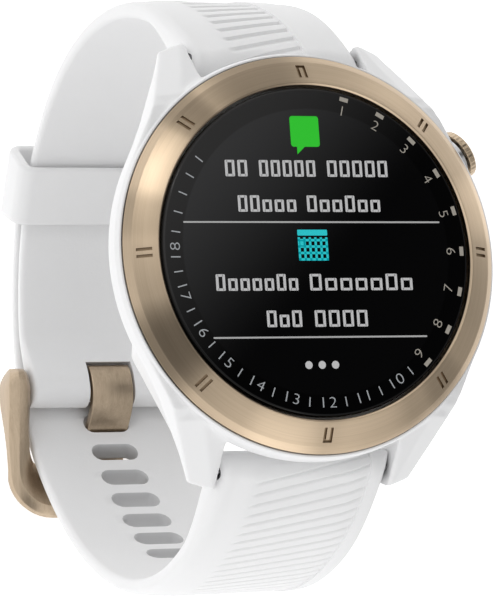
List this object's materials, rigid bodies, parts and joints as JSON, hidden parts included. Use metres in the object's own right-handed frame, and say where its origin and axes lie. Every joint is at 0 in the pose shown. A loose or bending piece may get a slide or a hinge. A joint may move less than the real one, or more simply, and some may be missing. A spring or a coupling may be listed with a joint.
{
  "type": "golf gps watch",
  "caption": "Round golf watch with a brushed gold bezel, hole numbers round its screen, and a buckled white silicone strap",
  "frame": {"origin": "middle of the flat outer face of the case back", "axes": "+Z out of the dial, +Y to 12 o'clock, +X to 3 o'clock, where the button side is"},
  "size_m": [0.0434, 0.0655, 0.0653],
  "materials": {
    "white_case": "satin moulded",
    "white_strap": "matte silicone",
    "brushed_gold": "brushed champagne gold coating",
    "bright_steel": "polished",
    "black_glass": "polished black glass",
    "screen": "smooth",
    "black_rubber": "matte",
    "grey_plastic": "moulded",
    "board_green": "solder mask",
    "cell_silver": "foil",
    "contact_gold": "plated"
  },
  "bodies": {
    "case": {"case_body": "white_case", "back_cover": "white_case", "back_gasket": "black_rubber", "bezel_ring": "brushed_gold", "cover_lens": "black_glass", "lens_gasket": "black_rubber", "display_module": "screen", "antenna_ring": "contact_gold", "inner_carrier": "grey_plastic", "battery": "cell_silver", "vibration_motor": "cell_silver", "main_board": "board_green", "gps_receiver": "cell_silver", "button_collar": "bright_steel", "tactile_switch": "grey_plastic", "back_screw_1": "bright_steel", "charge_contact_1": "contact_gold", "back_screw_2": "bright_steel", "charge_contact_2": "contact_gold", "back_screw_3": "bright_steel", "charge_contact_3": "contact_gold", "back_screw_4": "bright_steel", "charge_contact_4": "contact_gold"},
    "button": {"button_cap": "brushed_gold", "button_stem": "bright_steel", "button_seal": "black_rubber", "button_clip": "bright_steel", "button_spring": "bright_steel"},
    "upper_strap": {"upper_strap": "white_strap", "upper_bar_tube": "bright_steel", "upper_bar_fixed_tip": "bright_steel", "upper_bar_spring": "bright_steel", "buckle_pin": "brushed_gold"},
    "upper_release": {"upper_bar_sliding_tip": "bright_steel"},
    "lower_strap": {"lower_strap": "white_strap", "lower_bar_tube": "bright_steel", "lower_bar_fixed_tip": "bright_steel", "lower_bar_spring": "bright_steel"},
    "lower_release": {"lower_bar_sliding_tip": "bright_steel"},
    "keeper": {"strap_keeper": "white_strap"},
    "buckle_frame": {"buckle_frame": "brushed_gold"},
    "buckle_tongue": {"buckle_tongue": "brushed_gold"}
  },
  "joints": [
    {"name": "button_press", "type": "slide", "parent": "case", "child": "button", "axis": [-0.866, -0.5, 0], "range_m": [0, 0.00045], "stiffness_N_per_m": 900, "springref_m": -0.0008, "deforming": ["button_spring"]},
    {"name": "upper_strap_hinge", "type": "hinge", "parent": "case", "child": "upper_strap", "pos_m": [0, 0.0218, 0.0026], "axis": [1, 0, 0], "range_deg": [0, 75]},
    {"name": "lower_strap_hinge", "type": "hinge", "parent": "case", "child": "lower_strap", "pos_m": [0, -0.0218, 0.0026], "axis": [-1, 0, 0], "range_deg": [0, 75], "deforming": ["lower_strap"]},
    {"name": "keeper_slide", "type": "hinge", "parent": "upper_strap", "child": "keeper", "pos_m": [0, 0, -0.0195], "axis": [1, 0, 0], "range_deg": [-14, 22]},
    {"name": "buckle_frame_hinge", "type": "hinge", "parent": "upper_strap", "child": "buckle_frame", "pos_m": [0, -0.00579, -0.04955], "axis": [1, 0, 0], "range_deg": [0, 60]},
    {"name": "buckle_tongue_hinge", "type": "hinge", "parent": "buckle_frame", "child": "buckle_tongue", "pos_m": [0, -0.00579, -0.04955], "axis": [1, 0, 0], "range_deg": [0, 55]},
    {"name": "upper_bar_release", "type": "slide", "parent": "upper_strap", "child": "upper_release", "axis": [-1, 0, 0], "range_m": [0, 0.0013], "stiffness_N_per_m": 400, "springref_m": -0.001, "deforming": ["upper_bar_spring"]},
    {"name": "lower_bar_release", "type": "slide", "parent": "lower_strap", "child": "lower_release", "axis": [-1, 0, 0], "range_m": [0, 0.0013], "stiffness_N_per_m": 400, "springref_m": -0.001, "deforming": ["lower_bar_spring"]}
  ]
}
